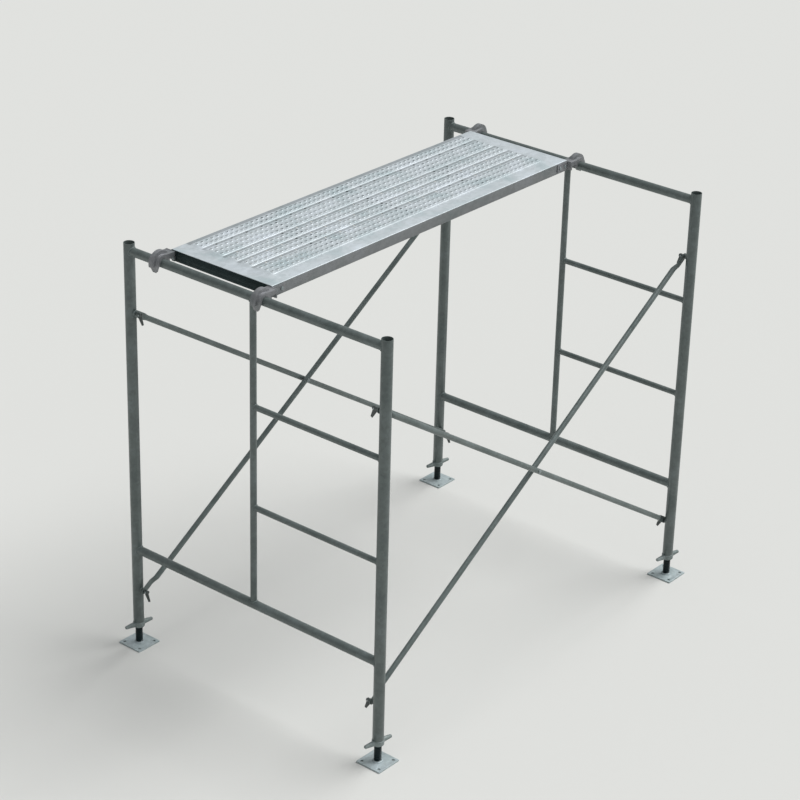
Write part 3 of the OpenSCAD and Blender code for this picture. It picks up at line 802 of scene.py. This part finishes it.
@register_piece_operator
class SCAFFOLD_OT_deck_channels(bpy.types.Operator):
    """End channels and cross channels of the deck"""
    bl_idname = "scaffold.deck_channels"
    bl_label = "Deck channels"

    def execute(self, context):
        for end in ENDS:
            # The channels take the near-black painted-shade finish.
            piece = rounded(f"deck_{end}_end", f"deck_{end}_end_channel", 0.0012)
            dress(piece, "painted_shade_channel", "catwalk", [f"deck_{end}_end"])
        piece = rounded("deck_cross_channels", "deck_cross_rails", 0.0008)
        dress(piece, "painted_shade_channel", "catwalk", ["deck_cross_channels"])
        return {"FINISHED"}


@register_piece_operator
class SCAFFOLD_OT_hooks(bpy.types.Operator):
    """Hooks over the rails and the rivets that hold them"""
    bl_idname = "scaffold.hooks"
    bl_label = "Hooks"

    def execute(self, context):
        for corner in CORNERS:
            end = corner.split("_")[0]
            rail = middle(f"{end}_top_rail")
            width_mid = middle(f"{corner}_hook").y

            def claw(mesh):
                """Narrows the outer limb below the rail towards its point."""
                for vertex in mesh.vertices:
                    out = abs(vertex.co.x) - abs(rail.x)
                    drop = rail.z - 0.004 - vertex.co.z
                    if out > RAIL_R - 0.001 and drop > 0:
                        keep = 1 - 0.62 * min(1, drop / 0.030)
                        vertex.co.y = width_mid + (vertex.co.y - width_mid) * keep

            hook = rounded(f"{corner}_hook", f"{corner}_rail_hook", 0.0024, segments=3, angle=40,
                           shape=claw)
            dress(hook, "hook_zinc", "catwalk", [f"{corner}_hook"])
        rivets = rounded("deck_rivets", "hook_rivets", 0.0016, segments=3)
        dress(rivets, "rivet_zinc", "catwalk", ["deck_rivets"])
        return {"FINISHED"}


# ---- screw jacks ----

@register_piece_operator
class SCAFFOLD_OT_base_plates(bpy.types.Operator):
    """Base plates and the weld that holds each screw to its plate"""
    bl_idname = "scaffold.base_plates"
    bl_label = "Base plates"

    def execute(self, context):
        for corner in CORNERS:
            node = f"{corner}_base_plate"
            body = f"{corner}_jack_screw"
            plate = rounded(node, f"{corner}_foot_plate", 0.0010)
            dress(plate, "plate_zinc", body, [node])
            low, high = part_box(node)
            place = Vector(((low.x + high.x) / 2, (low.y + high.y) / 2, high.z))
            select_none()
            bpy.ops.mesh.primitive_torus_add(major_segments=48, minor_segments=8, location=place,
                                             major_radius=SCREW_R + 0.0015, minor_radius=0.0042)
            ring = bpy.context.object
            settle(ring)
            for vertex in ring.data.vertices:
                angle = math.atan2(vertex.co.y - place.y, vertex.co.x - place.x)
                swell = 1 + 0.14 * math.sin(24 * angle)
                vertex.co.z = place.z + (vertex.co.z - place.z) * swell
            ring.name = f"{corner}_screw_weld"
            smooth(ring, 80)
            dress(ring, "plate_zinc", body)
        return {"FINISHED"}


@register_piece_operator
class SCAFFOLD_OT_screws(bpy.types.Operator):
    """Jack screws with a rolled trapezoid thread"""
    bl_idname = "scaffold.screws"
    bl_label = "Screws"

    def execute(self, context):
        sizes = context.scene.scaffold_sizes
        pitch, root = sizes.thread_pitch, SCREW_R - sizes.thread_depth
        low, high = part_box("left_near_screw")
        turns = int((high.z - low.z) / pitch) - 1
        outline = [(root, 0), (root, 0.26), (SCREW_R, 0.40), (SCREW_R, 0.86), (root, 1.0)]
        thread = new_mesh_object("thread")
        points = [Vector((r, 0, z * pitch)) for r, z in outline]
        thread.data.from_pydata(points, [(i, i + 1) for i in range(len(points) - 1)], [])
        apply_modifier(thread, "SCREW", steps=24, render_steps=24, iterations=turns,
                       screw_offset=pitch, angle=2 * math.pi, use_merge_vertices=True)
        tidy_mesh(thread)
        pick(thread)
        bpy.ops.object.mode_set(mode="EDIT")
        bpy.ops.mesh.select_all(action="DESELECT")
        bpy.ops.mesh.select_non_manifold()
        bpy.ops.mesh.edge_face_add()
        bpy.ops.mesh.select_all(action="SELECT")
        bpy.ops.mesh.normals_make_consistent(inside=False)
        bpy.ops.object.mode_set(mode="OBJECT")
        for corner in CORNERS:
            node = f"{corner}_screw"
            low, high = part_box(node)
            piece = thread.copy()
            piece.data = thread.data.copy()
            piece.name = f"{corner}_threaded_screw"
            context.scene.collection.objects.link(piece)
            piece.location = Vector(((low.x + high.x) / 2, (low.y + high.y) / 2, low.z))
            settle(piece)
            smooth(piece, 30)
            dress(piece, "screw_steel", f"{corner}_jack_screw", [node])
        bpy.data.objects.remove(thread)
        return {"FINISHED"}


def cast_nut(node):
    """A cast wing nut: round body, guide above it and two tapered handles, blended as a casting."""
    sizes = bpy.context.scene.scaffold_sizes
    low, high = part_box(node)
    centre = (low + high) / 2
    leg_low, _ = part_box(node.replace("nut", "leg"))
    body_low = leg_low.z - sizes.nut_h
    reach = (high.x - low.x) / 2 / math.cos(sizes.handle_turn) - 0.0012
    arm_z = leg_low.z - sizes.nut_h / 2
    select_none()
    bpy.ops.mesh.primitive_cylinder_add(vertices=64, radius=sizes.nut_r, depth=sizes.nut_h,
                                        location=(centre.x, centre.y, arm_z))
    body = bpy.context.object
    apply_modifier(body, "BEVEL", width=0.003, segments=3, limit_method="ANGLE",
                   angle_limit=math.radians(40))
    parts = [body]
    turn = sizes.handle_turn
    along = Vector((math.cos(turn), math.sin(turn), 0))
    for way in (-1, 1):
        start, stop = SCREW_R, reach - sizes.handle_r
        hub = Vector((centre.x, centre.y, arm_z))
        mid = hub + along * way * (start + stop) / 2
        select_none()
        bpy.ops.mesh.primitive_cone_add(
            vertices=32, radius1=sizes.handle_root_r, radius2=sizes.handle_r, depth=stop - start,
            location=mid, rotation=(0, way * math.pi / 2, turn))
        parts.append(bpy.context.object)
        select_none()
        tip = hub + along * way * (reach - sizes.handle_knob_r)
        bpy.ops.mesh.primitive_uv_sphere_add(segments=24, ring_count=16,
                                             radius=sizes.handle_knob_r, location=tip)
        parts.append(bpy.context.object)
    for part in parts[1:]:
        apply_modifier(body, "BOOLEAN", operation="UNION", object=part, solver="EXACT")
        bpy.data.objects.remove(part)
    apply_modifier(body, "REMESH", mode="VOXEL", voxel_size=0.0012)
    apply_modifier(body, "SMOOTH", factor=0.5, iterations=10)
    guide_r = LEG_R - 0.0030
    for action, radius, bottom, top in (("UNION", guide_r, leg_low.z - 0.004, high.z),
                                        ("DIFFERENCE", SCREW_R + 0.0004, body_low - 0.01,
                                         high.z + 0.01)):
        select_none()
        bpy.ops.mesh.primitive_cylinder_add(vertices=64, radius=radius, depth=top - bottom,
                                            location=(centre.x, centre.y, (bottom + top) / 2))
        tool = bpy.context.object
        apply_modifier(body, "BOOLEAN", operation=action, object=tool, solver="EXACT")
        bpy.data.objects.remove(tool)
    return settle(body)


@register_piece_operator
class SCAFFOLD_OT_nuts(bpy.types.Operator):
    """Cast wing nuts with two handles"""
    bl_idname = "scaffold.nuts"
    bl_label = "Jack nuts"

    def execute(self, context):
        for corner in CORNERS:
            node = f"{corner}_nut"
            nut = cast_nut(node)
            nut.name = f"{corner}_wing_nut"
            smooth(nut, 45)
            dress(nut, "nut_casting", node, [node])
        return {"FINISHED"}


# ---- stage ----

@register_piece_operator
class SCAFFOLD_OT_stage(bpy.types.Operator):
    """Pale floor, soft overhead light, sky and camera"""
    bl_idname = "scaffold.stage"
    bl_label = "Stage"

    def execute(self, context):
        scene = context.scene
        colours = scene.scaffold_colours
        low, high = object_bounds()
        select_none()
        bpy.ops.mesh.primitive_plane_add(size=60, location=(0, 0, low.z))
        floor = bpy.context.object
        floor.name = "studio_floor"
        paper = bpy.data.materials.new("studio_paper")
        paper.use_nodes = True
        shader = paper.node_tree.nodes["Principled BSDF"]
        shader.inputs["Base Color"].default_value = (*colours.floor, 1)
        shader.inputs["Roughness"].default_value = 0.95
        shader.inputs["Specular IOR Level"].default_value = 0.0
        floor.data.materials.append(paper)
        floor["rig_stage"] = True
        world = bpy.data.worlds.new("studio_sky")
        world.use_nodes = True
        sky = world.node_tree.nodes["Background"]
        sky.inputs["Color"].default_value = (0.93, 0.96, 0.97, 1)
        sky.inputs["Strength"].default_value = 0.40
        scene.world = world
        scene.view_settings.view_transform = "Standard"
        lamp = bpy.data.lights.new("overhead_light", "SUN")
        lamp.energy = 3.0
        lamp.angle = math.radians(45)
        overhead = bpy.data.objects.new("overhead_light", lamp)
        overhead.rotation_euler = Vector((-0.55, 0.30, -1.0)).to_track_quat("-Z", "Y").to_euler()
        scene.collection.objects.link(overhead)
        lens = bpy.data.cameras.new("view_camera")
        lens.sensor_width = 36
        lens.lens = 111.86
        lens.clip_end = 100
        camera = bpy.data.objects.new("view_camera", lens)
        scene.collection.objects.link(camera)
        azimuth, dip, roll = math.radians(50.592), math.radians(26.009), math.radians(1.497)
        ahead = Vector((math.sin(azimuth) * math.cos(dip), math.cos(azimuth) * math.cos(dip),
                        -math.sin(dip)))
        right = Vector((math.cos(azimuth), -math.sin(azimuth), 0))
        above = right.cross(ahead)
        turned = math.cos(roll) * right + math.sin(roll) * above
        raised = math.cos(roll) * above - math.sin(roll) * right
        basis = Matrix((turned, raised, -ahead)).transposed()
        camera.matrix_world = Matrix.Translation((-6.6751, -5.4034, 5.1119)) @ basis.to_4x4()
        scene.camera = camera
        return {"FINISHED"}


class SCAFFOLD_PT_panel(bpy.types.Panel):
    """Lists the pieces, sizes and colours of the scaffold section"""
    bl_idname = "SCAFFOLD_PT_panel"
    bl_label = "Frame scaffold section"
    bl_space_type = "VIEW_3D"
    bl_region_type = "UI"
    bl_category = "Scaffold"

    def draw(self, context):
        for group in (context.scene.scaffold_sizes, context.scene.scaffold_colours):
            for key in group.__annotations__:
                self.layout.prop(group, key)
        for cls in BUILD_ORDER:
            self.layout.operator(cls.bl_idname)


CLASSES = [ScaffoldSizes, ScaffoldColours, *BUILD_ORDER, SCAFFOLD_PT_panel]


def register():
    for cls in CLASSES:
        bpy.utils.register_class(cls)
    bpy.types.Scene.scaffold_sizes = bpy.props.PointerProperty(type=ScaffoldSizes)
    bpy.types.Scene.scaffold_colours = bpy.props.PointerProperty(type=ScaffoldColours)


def unregister():
    del bpy.types.Scene.scaffold_colours
    del bpy.types.Scene.scaffold_sizes
    for cls in reversed(CLASSES):
        bpy.utils.unregister_class(cls)


def main():
    register()
    for cls in BUILD_ORDER:
        if run_name(cls)() != {"FINISHED"}:
            raise RuntimeError(f"{cls.bl_label} didn't finish")


if __name__ == "__main__":
    main()
